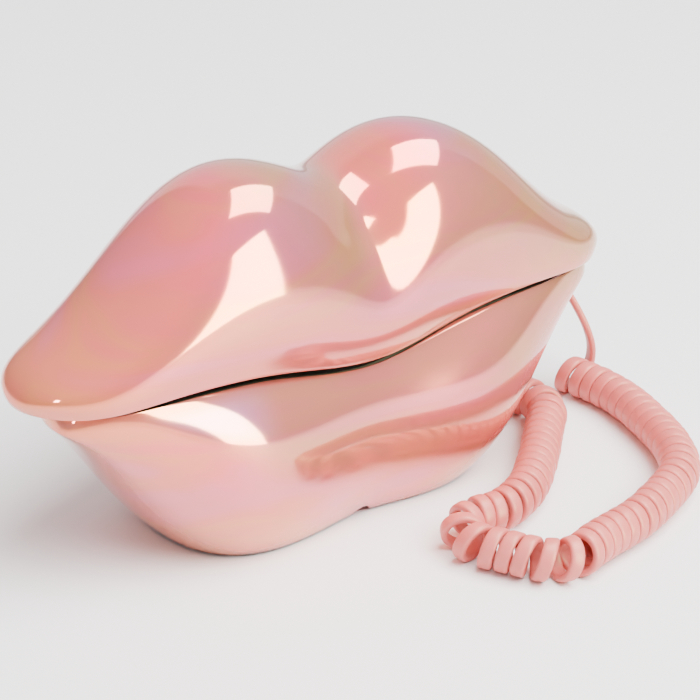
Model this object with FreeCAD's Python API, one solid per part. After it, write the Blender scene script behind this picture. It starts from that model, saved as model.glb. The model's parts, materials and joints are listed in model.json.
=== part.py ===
import FreeCAD, Part
import math
import os

# Corded telephone in the shape of closed lips. Millimetres, +Z up, +X to the viewer's right,
# -Y to the front. The origin is on the table, under the middle of the lips.
# The upper lip is the handset and lifts off. The lower lip is the base.

Vector = FreeCAD.Vector

# ---------------------------------------------------------------- the two lips
# Each lip is a closed bean along X. Its sections stand across X and are built from four quarter
# superellipses round a middle line. The reach up, to the front, to the back and down, and the
# middle line's height and depth, are even curves from the centre of the lips to a corner.
UPPER_LIP = {
    "half_length": 107.0,
    "up": (48.5, 46.5, 40.5, 29.0, 23.0, 18.5, 14.5),
    "front": (33.5, 31.5, 30.0, 32.0, 39.5, 44.5, 48.5),
    "back": (39.0, 39.5, 34.0, 31.0, 36.0, 40.5, 43.5),
    "down": (41.0, 39.5, 37.5, 34.5, 31.0, 26.0, 20.5),
    "middle_z": (62.5, 72.5, 67.5, 59.5, 61.5, 58.5),
    "middle_y": (1.5, -6.0, -5.0, -6.0),
    "roundness_up": 2.1,
    "roundness_down": 1.9,
}
LOWER_LIP = {
    "half_length": 99.0,
    "up": (32.0, 34.5, 37.5, 37.5, 34.0, 30.5, 26.5),
    "front": (32.0, 35.5, 39.5, 35.0, 35.5, 39.0, 42.0),
    "back": (37.5, 37.5, 37.0, 36.5, 35.5, 34.5, 33.5),
    "down": (44.5, 43.0, 41.5, 35.0, 23.5, 14.0, 6.0),
    "middle_z": (30.0, 26.5, 33.5, 49.5, 52.0, 51.5),
    "middle_y": (-1.5, -4.5, -5.5, -15.0),
    "roundness_up": 2.2,
    "roundness_down": 2.3,
}
SEAM_HEIGHT = (48.5, 56.0, 58.0, 56.5, 56.5, 56.0)
SEAM_GAP = (3.0, 2.7, 1.4, 0.8)
CREASE_DEPTH = 0.27        # share of the upper lip's reach that the crease takes
CREASE_LEAN = 0.3          # how much deeper the crease is behind than in front
CREASE_WIDTH_BACK = 25.0
CREASE_WIDTH_FRONT = 14.0
DIMPLE_DEPTH = 0.06        # the same for the shallow dimple in the lower lip
DIMPLE_WIDTH = 17.0

# ---------------------------------------------------------------- casings
WALL = 2.5
FIT = 0.15                 # gap round a cover inside its casing
FOOT_HEIGHT = 1.0          # the casing's lower edge stands this high on its rubber feet
COVER_RECESS = 1.0         # the black covers lie this far inside the seam
COVER_THICKNESS = 2.0
NOTCH_RADIUS = 4.0         # small notch in the base's front edge
RINGS = 24                 # sections along a lip, and points round each of them
SPOKES = 40

# ---------------------------------------------------------------- keypad
KEY_LENGTH = 9.5           # along X
KEY_WIDTH = 10.5           # along Y
KEY_PITCH_X = 13.0
KEY_PITCH_Y = 13.5
KEY_FIRST_X = -18.0        # the row of 1, 2 and 3
KEY_MIDDLE_Y = -2.5
KEY_STANDS_OUT = 1.4
KEY_TRAVEL = 1.2
KEY_CLEARANCE = 0.35
KEY_LIP = 1.0              # the flange that keeps a key behind its cover
KEYPAD_TOP = 60.0          # flat inside of the keypad's frame
BOARD_THICKNESS = 1.6
MEMBRANE_THICKNESS = 1.2

# ---------------------------------------------------------------- ear and mouth pieces
EAR = Vector(-62.0, -4.5, 0)
EAR_RING_RADIUS = 16.5
RECEIVER_RADIUS = 15.0
MOUTH = Vector(65.0, -4.5, 0)
MOUTH_RING_RADIUS = 11.0
RING_HEIGHT = 3.2
WELL_DEPTH = 3.4
WELL_CLEARANCE = 1.2

# ---------------------------------------------------------------- hook
HOOK = Vector(-35.0, -4.5, 0)
HOOK_RADIUS = 4.0
HOOK_PLATE_Z = 27.0
HOOK_GUIDE_Z = 35.0
HOOK_FINGER = 12.5         # from the plunger to the finger that presses the switch
SPRING_RADIUS = 4.2
SPRING_WIRE = 0.9
SPRING_TURNS = 5

# ---------------------------------------------------------------- base fittings
BOARD_Z = 13.0
BOARD_X = 38.0
LINE_JACK_X = -30.0
CORD_JACK_X = 30.0
JACK_Z = BOARD_Z + BOARD_THICKNESS
SWITCH_X = 9.0             # ringer switch at +X, dialling switch at -X
SWITCH_SLOT = 9.0
SWITCH_TRAVEL = 4.0
PILLAR_X = 45.0
PILLARS_Y = (-12.0, 5.0)
SCREW_RADIUS = 1.45
SCREW_HEAD = 2.8

# ---------------------------------------------------------------- handset fittings
HANDSET_SCREWS = ((-43.0, 9.5), (-43.0, -18.5), (49.0, 9.5), (49.0, -18.5))
HANDSET_JACK_X = 82.0
HANDSET_JACK_Z = 61.0

# ---------------------------------------------------------------- cord
CORD_WIDTH = 4.4
COIL_DIAMETER = 13.0
LEAD_ROUTE = (
    (82.0, 19.6, 65.5),
    (83.5, 29.0, 64.0),
    (92.0, 33.0, 60.0),
    (102.5, 27.0, 52.5),
    (110.0, 16.0, 43.0),
    (115.0, 4.5, 32.5),
    (118.5, -4.0, 20.0),
    (120.5, -7.5, 9.5),
    (117.0, -6.0, 4.5),
    (109.5, -7.5, 6.0),
)
COIL_ROUTE = (
    (109.5, -4.5, 6.5),
    (112.5, -20.0, 6.5),
    (109.5, -35.0, 6.5),
    (104.0, -51.0, 6.5),
    (97.0, -65.0, 6.5),
    (87.0, -75.0, 6.5),
    (72.5, -80.5, 6.5),
    (56.5, -86.0, 6.5),
    (39.0, -87.5, 6.5),
    (25.0, -91.5, 6.5),
    (16.5, -86.0, 6.5),
    (11.0, -76.5, 6.5),
    (5.0, -68.0, 6.5),
    (8.5, -59.0, 6.5),
    (17.0, -57.0, 6.5),
    (28.5, -59.0, 6.5),
    (43.0, -54.0, 6.5),
    (59.5, -42.0, 6.5),
    (76.0, -28.0, 6.5),
    (86.0, -20.0, 6.5),
    (87.5, -11.0, 6.5),
    (83.0, -2.5, 6.5),
    (78.5, 8.0, 6.5),
    (75.5, 22.0, 6.5),
    (71.5, 38.0, 6.5),
)
BASE_LEAD_ROUTE = (
    (71.5, 38.0, 6.5),
    (69.0, 48.0, 6.0),
    (61.5, 57.5, 7.5),
    (49.0, 61.0, 11.5),
    (37.0, 57.0, 16.5),
    (30.5, 47.5, 19.2),
    (30.0, 37.0, 19.2),
)


# ================================================================ shapes of the lips
def outline(values, angle):
    """Uniform cubic B-spline with these control values, from 0 at the centre to 90 degrees at the corner."""
    spans = len(values) - 1
    place = abs(angle) / (math.pi / 2) * spans
    span = min(int(place), spans - 1)
    t = place - span
    control = (values[1],) + tuple(values) + (2 * values[-1] - values[-2],)
    a, b, c, d = control[span:span + 4]
    weights = ((1 - t) ** 3, 3 * t ** 3 - 6 * t * t + 4, -3 * t ** 3 + 3 * t * t + 3 * t + 1, t ** 3)
    return (a * weights[0] + b * weights[1] + c * weights[2] + d * weights[3]) / 6


def smooth(t):
    t = min(max(t, 0.0), 1.0)
    return t * t * (3 - 2 * t)


def hollow(lip, x, turn):
    """How much of the reach is left beside the crease of the upper lip or the dimple of the lower one."""
    degrees = math.degrees(turn)
    if lip is UPPER_LIP:
        depth = CREASE_DEPTH * smooth(degrees / 45) * smooth((190 - degrees) / 50)
        depth *= 1 + CREASE_LEAN * (90 - degrees) / 90
        width = CREASE_WIDTH_BACK + (CREASE_WIDTH_FRONT - CREASE_WIDTH_BACK) * smooth((degrees - 60) / 120)
    else:
        depth = DIMPLE_DEPTH * smooth((degrees - 180) / 50) * smooth((330 - degrees) / 50)
        width = DIMPLE_WIDTH
    return 1 - depth / (1 + (x / width) ** 2)


def signed_power(value, power):
    return math.copysign(abs(value) ** power, value)


def lip_point(lip, angle, turn, inset=0.0):
    """A point of a lip's surface: angle runs along the lip, turn runs round it from the back over the top."""
    x = (lip["half_length"] - inset) * math.sin(angle)
    side = "back" if math.cos(turn) > 0 else "front"
    height = "up" if math.sin(turn) > 0 else "down"
    power = 2 / lip["roundness_" + height]
    size = math.cos(angle) * hollow(lip, x, turn)
    y = size * (outline(lip[side], angle) - inset) * signed_power(math.cos(turn), power)
    z = size * (outline(lip[height], angle) - inset) * signed_power(math.sin(turn), power)
    return Vector(x, outline(lip["middle_y"], angle) + y, outline(lip["middle_z"], angle) + z)


def bean(lip, inset=0.0):
    """The closed solid of a lip, smaller all round by inset."""
    angles = [math.pi * (i / RINGS - 0.5) for i in range(RINGS + 1)]
    turns = [2 * math.pi * (j + 0.5) / SPOKES for j in range(SPOKES)]
    poles = [[lip_point(lip, angle, turn, inset) for turn in turns] for angle in angles]
    for end, next_ring in ((0, 1), (-1, -2)):
        for pole in poles[next_ring]:
            pole.x = poles[end][0].x
    rings = len(poles)
    surface = Part.BSplineSurface()
    surface.buildFromPolesMultsKnots(
        poles,
        [4] + [1] * (rings - 4) + [4], [1] * (SPOKES + 1),
        list(range(rings - 2)), list(range(SPOKES + 1)),
        False, True, 3, 3)
    faces = []
    quarter = SPOKES // 4
    for k in range(4):
        patch = surface.copy()
        patch.segment(0, rings - 3, k * quarter, (k + 1) * quarter)
        faces.append(patch.toShape())
    shell = Part.makeShell(faces)
    shell.sewShape()
    return Part.Solid(shell)


def seam_angle(x):
    return math.asin(max(-1.0, min(1.0, x / UPPER_LIP["half_length"])))


def seam(x, side):
    """Height of the seam's upper edge (side 1) or lower edge (side -1)."""
    angle = seam_angle(x)
    return outline(SEAM_HEIGHT, angle) + side * outline(SEAM_GAP, angle) / 2


def seam_block(side, low, high):
    """Everything between two surfaces that follow the seam's edge, low and high above it; None is far off."""
    reach = 130.0
    stations = [UPPER_LIP["half_length"] * math.sin(math.radians(a)) for a in range(-90, 91, 6)]

    def edge(offset):
        points = [Vector(x, -reach, seam(x, side) + offset) for x in [-reach] + stations + [reach]]
        curve = Part.BSplineCurve()
        curve.interpolate(points)
        return curve.toShape()

    bottom = edge(-60.0 if low is None else low)
    top = edge(80.0 if high is None else high)
    ends = []
    for k in (0, -1):
        ends.append(Part.makeLine(bottom.Vertexes[k].Point, top.Vertexes[k].Point))
    face = Part.Face(Part.Wire(Part.__sortEdges__([bottom, ends[1], top, ends[0]])))
    return face.extrude(Vector(0, 2 * reach, 0))


def wall_y(lip, x, z, side):
    """Where a lip's outer surface is at x and z, at the back (side 1) or the front (side -1)."""
    angle = math.asin(x / lip["half_length"])
    above = z - outline(lip["middle_z"], angle)
    height = "up" if above > 0 else "down"
    power = lip["roundness_" + height]
    share = abs(above) / (math.cos(angle) * outline(lip[height], angle))
    reach = math.cos(angle) * outline(lip["back" if side > 0 else "front"], angle)
    return outline(lip["middle_y"], angle) + side * reach * (1 - share ** power) ** (1 / power)


# ================================================================ small helpers
def box(low, high):
    size = Vector(*high) - Vector(*low)
    return Part.makeBox(size.x, size.y, size.z, Vector(*low))


def rounded_box(low, high, radius):
    """A box whose upright edges are rounded."""
    body = box(low, high)
    upright = [e for e in body.Edges if abs(e.tangentAt(e.FirstParameter).z) > 0.9]
    return body.makeFillet(radius, upright)


def cylinder(x, y, low, high, radius):
    return Part.makeCylinder(radius, high - low, Vector(x, y, low))


def fuse(shapes):
    return shapes[0].multiFuse(shapes[1:]).removeSplitter()


def group(solids):
    return Part.makeCompound(solids)


def save(name, shape):
    shape.exportStep("parts/" + name + ".step")
    valid = "" if shape.isValid() else "  NOT VALID"
    print(f"{name:24} {len(shape.Solids)} solid  {shape.Volume / 1000:8.2f} cm3{valid}")


def perforations(centre, radius, hole, low, high):
    """Holes on two circles and one in the middle."""
    places = [(0.0, 0.0)]
    for ring, count in ((0.45, 6), (0.9, 12)):
        for i in range(count):
            angle = 2 * math.pi * i / count
            places.append((ring * radius * math.cos(angle), ring * radius * math.sin(angle)))
    return group([cylinder(centre.x + x, centre.y + y, low, high, hole) for x, y in places])


def cord_tube(name, route, diameter):
    """A tube along straight runs joined by tangent arcs, each as large as its two runs allow."""
    points = [Vector(*p) for p in route]
    edges = []
    start = points[0]
    radii = []
    for before, corner, after in zip(points, points[1:], points[2:]):
        run_in = corner - before
        run_out = after - corner
        turn = run_in.getAngle(run_out)
        cut = 0.45 * min(run_in.Length, run_out.Length)
        radii.append(cut / math.tan(turn / 2))
        unit_in = Vector(run_in).normalize()
        unit_out = Vector(run_out).normalize()
        arc_start = corner - unit_in * cut
        arc_end = corner + unit_out * cut
        half = Vector(unit_out - unit_in).normalize()
        middle = corner + half * (radii[-1] / math.cos(turn / 2) - radii[-1])
        edges.append(Part.LineSegment(start, arc_start).toShape())
        edges.append(Part.Arc(arc_start, middle, arc_end).toShape())
        start = arc_end
    edges.append(Part.LineSegment(start, points[-1]).toShape())
    path = Part.Wire(edges)
    along = (points[1] - points[0]).normalize()
    section = Part.Wire(Part.makeCircle(diameter / 2, points[0], along))
    tube = path.makePipeShell([section], True, False)
    expected = math.pi * diameter ** 2 / 4 * path.Length
    print(f"{name}: length {path.Length:.0f}, least radius {min(radii):.1f}, "
          f"volume over section times length {tube.Volume / expected:.4f}")
    return tube


def jack(x, face_y, z, width, depth, height, opening, cavity):
    """A modular jack that faces +Y. The opening's wide part takes the plug, the narrow part its latch."""
    housing = box((x - width / 2, face_y - depth, z), (x + width / 2, face_y, z + height))
    floor = z + 1.4
    plug_space = box((x - opening[0] / 2, face_y - cavity, floor),
                     (x + opening[0] / 2, face_y + 1, floor + opening[1]))
    latch_space = box((x - 1.6, face_y - cavity, floor + opening[1] - 0.01),
                      (x + 1.6, face_y + 1, z + height - 0.6))
    contacts = []
    for k in range(4):
        place = x + (k - 1.5) * 1.1
        contacts.append(box((place - 0.25, face_y - cavity, floor - 0.01),
                            (place + 0.25, face_y - 2.5, floor + 0.5)))
    return fuse([housing.cut(plug_space).cut(latch_space)] + contacts)


def plug(x, face_y, z, opening, cavity):
    """The cord's plug, pushed into its jack, with a short boot behind it."""
    floor = z + 1.4
    inside = 0.15
    body = box((x - opening[0] / 2 + inside, face_y - cavity + 1.0, floor + 0.6),
               (x + opening[0] / 2 - inside, face_y + 2.0, floor + opening[1] - inside))
    latch = box((x - 1.3, face_y - cavity + 3.0, floor + opening[1] - inside),
                (x + 1.3, face_y + 3.0, floor + opening[1] + 0.9))
    middle = floor + opening[1] / 2
    boot = Part.makeCone(3.4, CORD_WIDTH / 2 + 0.4, 6.0, Vector(x, face_y + 1.5, middle), Vector(0, 1, 0))
    return fuse([body, latch, boot])


# ================================================================ handset, the upper lip
upper_outer = bean(UPPER_LIP)
upper_inner = bean(UPPER_LIP, WALL)
upper_fit = bean(UPPER_LIP, WALL + FIT)
above_seam = seam_block(1, 0.0, None)
JACK9_OPENING = (7.9, 6.3)
JACK9_CAVITY = 10.0
handset_jack_face = wall_y(UPPER_LIP, HANDSET_JACK_X + 5.5, HANDSET_JACK_Z + 8.0, 1) - 0.3
handset_jack_box = ((HANDSET_JACK_X - 5.6, handset_jack_face - 20, HANDSET_JACK_Z - 0.1),
                    (HANDSET_JACK_X + 5.6, 60.0, HANDSET_JACK_Z + 9.6))


def cover_z(x):
    """Outer face of the handset's inner cover."""
    return seam(x, 1) + COVER_RECESS


def screw_pillars(places, low, high, radius):
    return group([cylinder(x, y, low, high, radius) for x, y in places])


def handset_shell():
    shell = upper_outer.common(above_seam).cut(upper_inner)
    pillars = screw_pillars(HANDSET_SCREWS, 66.0, 110.0, 3.2).common(bean(UPPER_LIP, WALL / 2))
    shell = shell.fuse(pillars)
    shell = shell.cut(screw_pillars(HANDSET_SCREWS, 60.0, 78.0, SCREW_RADIUS + 0.05))
    return shell.cut(box(*handset_jack_box)).removeSplitter()


def key_places():
    """Name, x and y of every key. Rows run along X, and 1 is at the back, next to the earpiece."""
    rows = (("1", "2", "3"), ("4", "5", "6"), ("7", "8", "9"), ("star", "0", "hash"),
            ("flash", "redial", "mute"))
    found = []
    for i, row in enumerate(rows):
        for j, label in enumerate(row):
            x = KEY_FIRST_X + i * KEY_PITCH_X
            y = KEY_MIDDLE_Y + (1 - j) * KEY_PITCH_Y
            found.append(("key_" + label, x, y))
    return found


def key_size(name):
    """Half sizes of a key: the function keys are lower."""
    small = name in ("key_flash", "key_redial", "key_mute")
    return (KEY_LENGTH / 2 * (0.6 if small else 1.0), KEY_WIDTH / 2)


def key(name, x, y):
    half_x, half_y = key_size(name)
    face = cover_z(x) - KEY_STANDS_OUT
    cap = rounded_box((x - half_x, y - half_y, face), (x + half_x, y + half_y, KEYPAD_TOP + 0.2), 2.0)
    rim = [e for e in cap.Edges if max(v.Z for v in e.Vertexes) < face + 0.01]
    cap = cap.makeFillet(0.6, rim)
    flange = box((x - half_x - KEY_LIP, y - half_y - KEY_LIP, KEYPAD_TOP + 0.1),
                 (x + half_x + KEY_LIP, y + half_y + KEY_LIP, KEYPAD_TOP + 1.1))
    return fuse([cap, flange])


def handset_cover():
    plate = upper_fit.common(seam_block(1, COVER_RECESS, COVER_RECESS + COVER_THICKNESS))
    frame_low = KEY_FIRST_X - KEY_LENGTH / 2 - 3.0
    frame_high = KEY_FIRST_X + 4 * KEY_PITCH_X + 6.0
    half = 1.5 * KEY_PITCH_Y + 1.0
    frame = box((frame_low, KEY_MIDDLE_Y - half, 40.0), (frame_high, KEY_MIDDLE_Y + half, KEYPAD_TOP))
    frame = frame.common(upper_fit).common(seam_block(1, COVER_RECESS + 0.01, None))
    seats = []
    for x, y in HANDSET_SCREWS:
        seats.append(cylinder(x, y, cover_z(x) + 0.5, 66.0, 3.6))
    rings = []
    for centre, radius in ((EAR, EAR_RING_RADIUS), (MOUTH, MOUTH_RING_RADIUS)):
        rings.append(cylinder(centre.x, centre.y, cover_z(centre.x) - RING_HEIGHT + COVER_RECESS,
                              cover_z(centre.x) + COVER_THICKNESS, radius))
    cover = fuse([plate, frame] + seats + rings)
    for name, x, y in key_places():
        half_x, half_y = key_size(name)
        cover = cover.cut(rounded_box((x - half_x - KEY_CLEARANCE, y - half_y - KEY_CLEARANCE, 40.0),
                                      (x + half_x + KEY_CLEARANCE, y + half_y + KEY_CLEARANCE, 70.0),
                                      2.0 + KEY_CLEARANCE))
    for centre, radius in ((EAR, EAR_RING_RADIUS), (MOUTH, MOUTH_RING_RADIUS)):
        low = cover_z(centre.x) - RING_HEIGHT
        dish = Part.makeCone(radius - 3.0, radius - 5.0, 1.2,
                             Vector(centre.x, centre.y, low + COVER_RECESS - 0.01))
        cover = cover.cut(dish)
    cover = cover.cut(perforations(EAR, 9.0, 0.9, 40.0, 70.0))
    cover = cover.cut(perforations(MOUTH, 4.0, 0.6, 40.0, 70.0))
    cover = cover.cut(screw_pillars(HANDSET_SCREWS, 40.0, 70.0, SCREW_RADIUS + 0.1))
    cover = cover.cut(group([cylinder(x, y, 40.0, cover_z(x) + 2.5, SCREW_HEAD + 0.2)
                             for x, y in HANDSET_SCREWS]))
    hollow_end = box((HANDSET_JACK_X - 6.0, -4.0, HANDSET_JACK_Z - 0.2), (HANDSET_JACK_X + 6.0, 40.0, 80.0))
    return cover.cut(hollow_end).removeSplitter()


MEMBRANE_Z = KEYPAD_TOP + 1.1 + KEY_TRAVEL + 0.3
KEYPAD_X = (KEY_FIRST_X - KEY_LENGTH / 2 - 2.5, KEY_FIRST_X + 4 * KEY_PITCH_X + 5.5)
KEYPAD_HALF_Y = 1.5 * KEY_PITCH_Y


def keypad_sheet(low, high, edge):
    return rounded_box((KEYPAD_X[0] + edge, KEY_MIDDLE_Y - KEYPAD_HALF_Y + edge, low),
                       (KEYPAD_X[1] - edge, KEY_MIDDLE_Y + KEYPAD_HALF_Y - edge, high), 2.0)


def membrane():
    """Rubber sheet with one dome over each key, drawn as far down as a pressed key leaves it."""
    sheet = keypad_sheet(MEMBRANE_Z + 0.5, MEMBRANE_Z + 0.5 + MEMBRANE_THICKNESS, 0.0)
    domes = [Part.makeCone(2.6, 3.4, 0.6, Vector(x, y, MEMBRANE_Z)) for name, x, y in key_places()]
    return fuse([sheet] + domes)


HANDSET_BOARD_Z = MEMBRANE_Z + 0.5 + MEMBRANE_THICKNESS


def handset_board():
    board = keypad_sheet(HANDSET_BOARD_Z, HANDSET_BOARD_Z + BOARD_THICKNESS, 0.5)
    top = HANDSET_BOARD_Z + BOARD_THICKNESS
    chip = box((-2.0, -8.0, top), (10.0, 0.0, top + 2.2))
    crystal = cylinder(18.0, 4.0, top, top + 3.5, 2.0)
    capacitors = [cylinder(-14.0 + 9.0 * k, 9.0, top, top + 7.0, 2.5) for k in range(3)]
    return fuse([board, chip, crystal] + capacitors)


def screws(places, tip, length):
    """Countersunk screws. Their heads are at the lower end."""
    made = []
    for (x, y), z in zip(places, tip):
        shank = cylinder(x, y, z, z + length, SCREW_RADIUS)
        head = Part.makeCone(SCREW_HEAD, SCREW_RADIUS, 1.6, Vector(x, y, z))
        slot_a = box((x - 2.0, y - 0.35, z - 0.1), (x + 2.0, y + 0.35, z + 0.7))
        slot_b = box((x - 0.35, y - 2.0, z - 0.1), (x + 0.35, y + 2.0, z + 0.7))
        made.append(shank.fuse(head).cut(slot_a).cut(slot_b))
    return group(made)


def handset():
    save("handset_shell", handset_shell())
    save("handset_inner_cover", handset_cover())
    for name, x, y in key_places():
        save(name, key(name, x, y))
    save("keypad_membrane", membrane())
    save("handset_board", handset_board())
    ear_z = cover_z(EAR.x) + COVER_THICKNESS
    gasket = cylinder(EAR.x, EAR.y, ear_z, ear_z + 1.0, RECEIVER_RADIUS)
    save("receiver_gasket", gasket.cut(cylinder(EAR.x, EAR.y, ear_z, ear_z + 1.0, RECEIVER_RADIUS - 4.0)))
    can = cylinder(EAR.x, EAR.y, ear_z + 1.0, ear_z + 6.0, RECEIVER_RADIUS)
    magnet = cylinder(EAR.x, EAR.y, ear_z + 6.0, ear_z + 10.0, 8.0)
    save("receiver_capsule", fuse([can, magnet]))
    mouth_z = cover_z(MOUTH.x) + COVER_THICKNESS + 0.1
    boot = cylinder(MOUTH.x, MOUTH.y, mouth_z, mouth_z + 7.0, 7.0)
    boot = boot.cut(cylinder(MOUTH.x, MOUTH.y, mouth_z, mouth_z + 6.0, 4.9))
    boot = boot.cut(cylinder(MOUTH.x, MOUTH.y, mouth_z, mouth_z + 8.0, 2.0))
    save("microphone_boot", boot)
    save("microphone_capsule", cylinder(MOUTH.x, MOUTH.y, mouth_z + 0.2, mouth_z + 5.9, 4.85))
    save("handset_jack", jack(HANDSET_JACK_X, handset_jack_face, HANDSET_JACK_Z, 11.0, 13.0, 9.4,
                              JACK9_OPENING, JACK9_CAVITY))
    save("handset_plug", plug(HANDSET_JACK_X, handset_jack_face, HANDSET_JACK_Z, JACK9_OPENING, JACK9_CAVITY))
    tips = [cover_z(x) + 0.9 for x, y in HANDSET_SCREWS]
    save("handset_screws", screws(HANDSET_SCREWS, tips, 14.0))


# ================================================================ base, the lower lip
lower_outer = bean(LOWER_LIP)
lower_inner = bean(LOWER_LIP, WALL)
lower_fit = bean(LOWER_LIP, WALL + FIT)
JACK11_OPENING = (9.8, 6.8)
JACK11_CAVITY = 12.0
PILLAR_PLACES = [(side * PILLAR_X, y) for side in (-1, 1) for y in PILLARS_Y]
line_jack_face = wall_y(LOWER_LIP, abs(LINE_JACK_X) + 6.5, JACK_Z, 1) - 0.3
cord_jack_face = wall_y(LOWER_LIP, CORD_JACK_X + 5.5, JACK_Z, 1) - 0.3
switch_face = wall_y(LOWER_LIP, SWITCH_X + 5.0, JACK_Z, 1)
SWITCH_Z = JACK_Z + 2.0


def tray_z(x):
    """Upper face of the tray that the handset lies on."""
    return seam(x, -1) - COVER_RECESS


def base_shell():
    below = seam_block(-1, None, 0.0)
    shell = lower_outer.common(below).common(box((-120, -60, FOOT_HEIGHT), (120, 60, 70))).cut(lower_inner)
    windows = [
        box((LINE_JACK_X - 6.6, 10.0, JACK_Z - 0.1), (LINE_JACK_X + 6.6, 60.0, JACK_Z + 11.6)),
        box((CORD_JACK_X - 5.6, 10.0, JACK_Z - 0.1), (CORD_JACK_X + 5.6, 60.0, JACK_Z + 9.6)),
    ]
    for x in (-SWITCH_X, SWITCH_X):
        windows.append(box((x - SWITCH_SLOT / 2, 10.0, SWITCH_Z + 1.0),
                           (x + SWITCH_SLOT / 2, 60.0, SWITCH_Z + 4.6)))
    notch_start = Vector(0, wall_y(LOWER_LIP, 0.0, FOOT_HEIGHT, -1) - 8.0, FOOT_HEIGHT - 1.5)
    windows.append(Part.makeCylinder(NOTCH_RADIUS, 12.0, notch_start, Vector(0, 1, 0)))
    for window in windows:
        shell = shell.cut(window)
    return shell.removeSplitter()


def base_tray():
    plate = lower_fit.common(seam_block(-1, -COVER_RECESS - COVER_THICKNESS, -COVER_RECESS))
    pieces = [plate]
    wells = []
    for centre, radius in ((EAR, EAR_RING_RADIUS), (MOUTH, MOUTH_RING_RADIUS)):
        top = tray_z(centre.x)
        wide = radius + WELL_CLEARANCE
        pieces.append(cylinder(centre.x, centre.y, top - WELL_DEPTH - COVER_THICKNESS, top - 0.3, wide + 1.6))
        wells.append(cylinder(centre.x, centre.y, top - WELL_DEPTH, top + 9.0, wide))
    for x, y in PILLAR_PLACES:
        pieces.append(cylinder(x, y, FOOT_HEIGHT + 0.2 + COVER_THICKNESS, tray_z(x) - 0.5, 3.5))
    pieces.append(cylinder(HOOK.x, HOOK.y, HOOK_GUIDE_Z, tray_z(HOOK.x) - 0.2, HOOK_RADIUS + 3.0))
    tray = fuse(pieces).common(lower_fit)
    for well in wells:
        tray = tray.cut(well)
    tray = tray.cut(cylinder(HOOK.x, HOOK.y, 20.0, 70.0, HOOK_RADIUS + 0.25))
    return tray.cut(screw_pillars(PILLAR_PLACES, 0.0, 16.0, SCREW_RADIUS + 0.05)).removeSplitter()


SOUNDER = Vector(24.0, -4.0, 0)
FLOOR_TOP = FOOT_HEIGHT + 0.2 + COVER_THICKNESS
POST_PLACES = ((-36.0, 13.0), (36.0, 13.0), (-36.0, -17.0), (36.0, -17.0))


def bottom_cover():
    cover = lower_fit.common(box((-70, -60, FOOT_HEIGHT + 0.2), (70, 60, FLOOR_TOP)))
    posts = [cylinder(x, y, FLOOR_TOP - 0.5, BOARD_Z, 2.5) for x, y in POST_PLACES]
    cover = fuse([cover] + posts)
    cover = cover.cut(screw_pillars(PILLAR_PLACES, 0.0, 10.0, SCREW_RADIUS + 0.15))
    cover = cover.cut(group([Part.makeCone(SCREW_HEAD + 0.3, SCREW_RADIUS + 0.15, 1.7,
                                           Vector(x, y, FOOT_HEIGHT + 0.19)) for x, y in PILLAR_PLACES]))
    return cover.cut(perforations(SOUNDER, 8.0, 0.8, 0.0, 5.0))


def base_board():
    top = BOARD_Z + BOARD_THICKNESS
    board = rounded_box((-BOARD_X, -19.0, BOARD_Z), (BOARD_X, 16.0, top), 2.0)
    parts = [board,
             box((-8.0, -10.0, top), (6.0, -3.0, top + 3.0)),
             box((14.0, -15.0, top), (26.0, -6.0, top + 8.0))]
    parts += [cylinder(8.0 + 7.0 * k, 4.0, top, top + 8.0, 2.6) for k in range(3)]
    parts += [cylinder(-14.0, -14.0 + 6.0 * k, top, top + 6.0, 2.0) for k in range(3)]
    return fuse(parts)


def hook_plunger():
    top = min(cover_z(HOOK.x - HOOK_RADIUS), cover_z(HOOK.x + HOOK_RADIUS)) - 0.3
    stem = cylinder(HOOK.x, HOOK.y, HOOK_PLATE_Z, top, HOOK_RADIUS)
    rim = [e for e in stem.Edges if e.BoundBox.ZMin > top - 0.01]
    stem = stem.makeFillet(1.2, rim)
    plate = rounded_box((HOOK.x - 6.0, HOOK.y - 6.0, HOOK_PLATE_Z - 2.0),
                        (HOOK.x + HOOK_FINGER + 4.5, HOOK.y + 6.0, HOOK_PLATE_Z), 2.0)
    finger = cylinder(HOOK.x + HOOK_FINGER, HOOK.y, HOOK_PLATE_Z - 5.4, HOOK_PLATE_Z - 1.0, 1.5)
    return fuse([stem, plate, finger])


def hook_switch():
    top = BOARD_Z + BOARD_THICKNESS
    x = HOOK.x + HOOK_FINGER
    body = box((x - 3.2, HOOK.y - 6.4, top), (x + 3.2, HOOK.y + 6.4, top + 5.5))
    button = cylinder(x, HOOK.y, top + 5.0, HOOK_PLATE_Z - 5.5, 1.6)
    return fuse([body, button])


def hook_spring():
    """Round wire swept along a helix, one edge a turn. Its section is four arcs, square to the helix."""
    low = BOARD_Z + BOARD_THICKNESS + SPRING_WIRE / 2 + 0.05
    high = HOOK_PLATE_Z - 2.0 - SPRING_WIRE / 2 - 0.05
    pitch = (high - low) / SPRING_TURNS
    turns = []
    for k in range(SPRING_TURNS):
        turn = Part.makeHelix(pitch, pitch, SPRING_RADIUS)
        turn.translate(Vector(0, 0, k * pitch))
        turns += turn.Edges
    start = turns[0].FirstParameter
    centre = turns[0].valueAt(start)
    out = Vector(1, 0, 0)
    across = turns[0].tangentAt(start).cross(out)
    rim = []
    for k in range(8):
        angle = math.radians(45 * k)
        rim.append(centre + (out * math.cos(angle) + across * math.sin(angle)) * (SPRING_WIRE / 2))
    arcs = [Part.Arc(rim[k], rim[k + 1], rim[(k + 2) % 8]).toShape() for k in (0, 2, 4, 6)]
    spring = Part.Wire(turns).makePipeShell([Part.Wire(arcs)], True, True)
    spring.translate(Vector(HOOK.x, HOOK.y, low))
    return spring


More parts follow.
